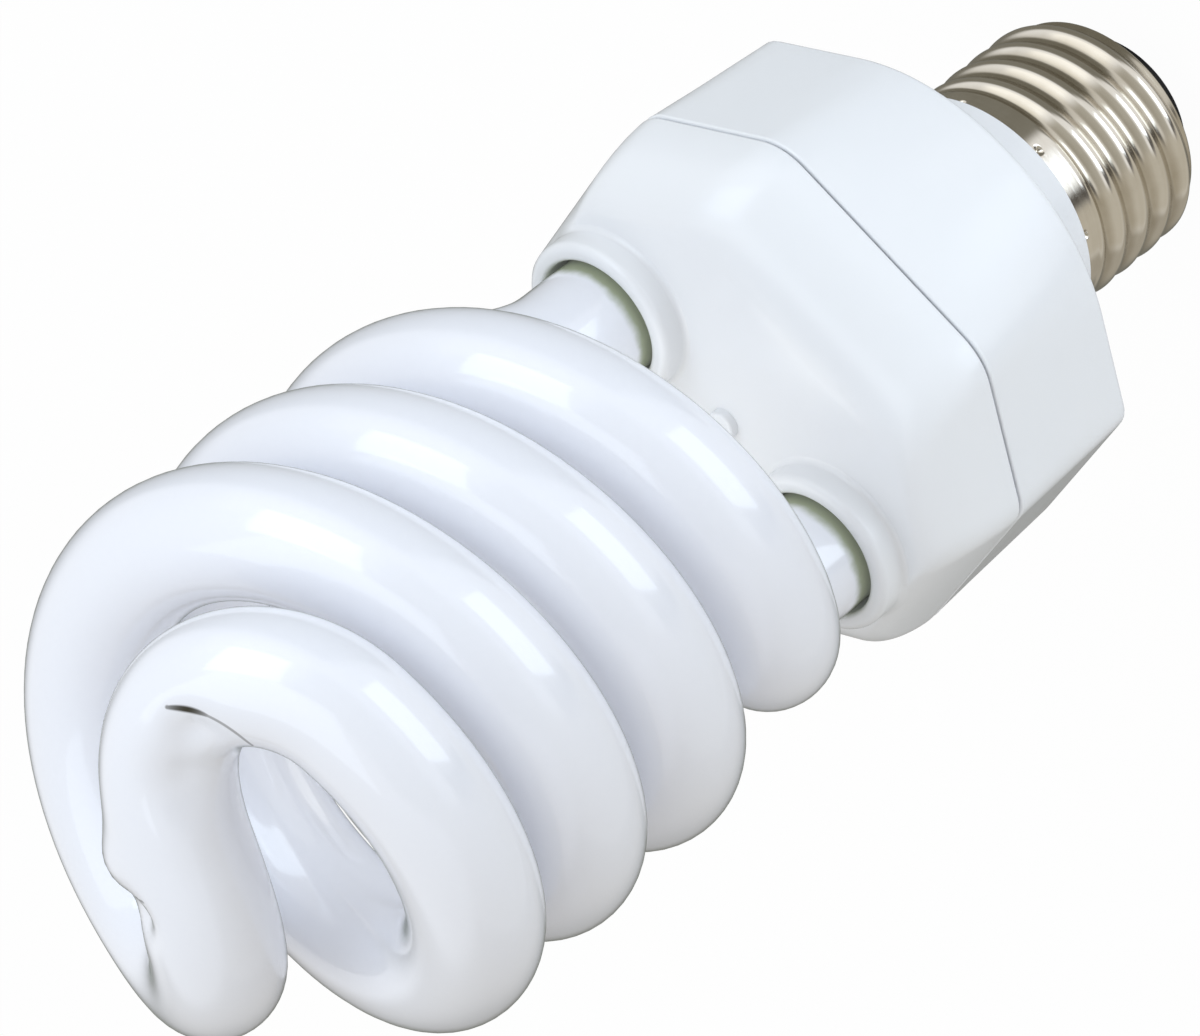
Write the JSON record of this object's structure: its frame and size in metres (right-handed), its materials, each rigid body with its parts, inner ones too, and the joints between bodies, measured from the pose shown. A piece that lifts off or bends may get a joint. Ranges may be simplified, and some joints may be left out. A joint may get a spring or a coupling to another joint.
{
  "type": "compact fluorescent bulb",
  "caption": "Spiral compact fluorescent bulb: white double-helix glass tube with an S-shaped tip, octagonal white ballast housing and an E27 screw cap.",
  "frame": {"origin": "centre of the contact face at the end of the screw cap", "axes": "+Z along the lamp axis from the cap to the tip of the spiral, +X through the two tube sockets"},
  "size_m": [0.0604, 0.061, 0.1492],
  "materials": {
    "nickel": "bright nickel plate",
    "black_glass": "black glass",
    "contact_metal": "tinned brass",
    "white_plastic": "moulded, glossy, cool white",
    "white_glass": "clear glass over white powder, opaque",
    "cement": "hard cement",
    "board": "paper laminate",
    "can_sleeve": "shrunk sleeve",
    "ferrite": "sintered, dark grey",
    "bobbin_plastic": "moulded",
    "copper": "lacquered copper wire",
    "film_coat": "dipped coat",
    "black_resin": "moulded resin",
    "resistor_coat": "lacquer",
    "lead_metal": "tinned wire",
    "wire_cover": "wire insulation"
  },
  "bodies": {
    "root": {"screw_shell": "nickel", "cap_insulator": "black_glass", "centre_contact": "contact_metal", "base_housing": "white_plastic", "tube_holder": "white_plastic", "spiral_tube": "white_glass", "tube_cement": "cement", "circuit_board": "board", "smoothing_capacitor": "can_sleeve", "choke_core": "ferrite", "choke_bobbin": "bobbin_plastic", "choke_winding": "copper", "ring_core": "ferrite", "ring_windings": "copper", "resonant_capacitor": "film_coat", "coupling_capacitor": "film_coat", "power_transistors": "black_resin", "rectifier_diodes": "black_resin", "drum_core": "ferrite", "drum_winding": "copper", "fuse_resistor": "resistor_coat", "filament_leads": "lead_metal", "live_wire": "wire_cover", "neutral_wire": "wire_cover"}
  },
  "joints": []
}
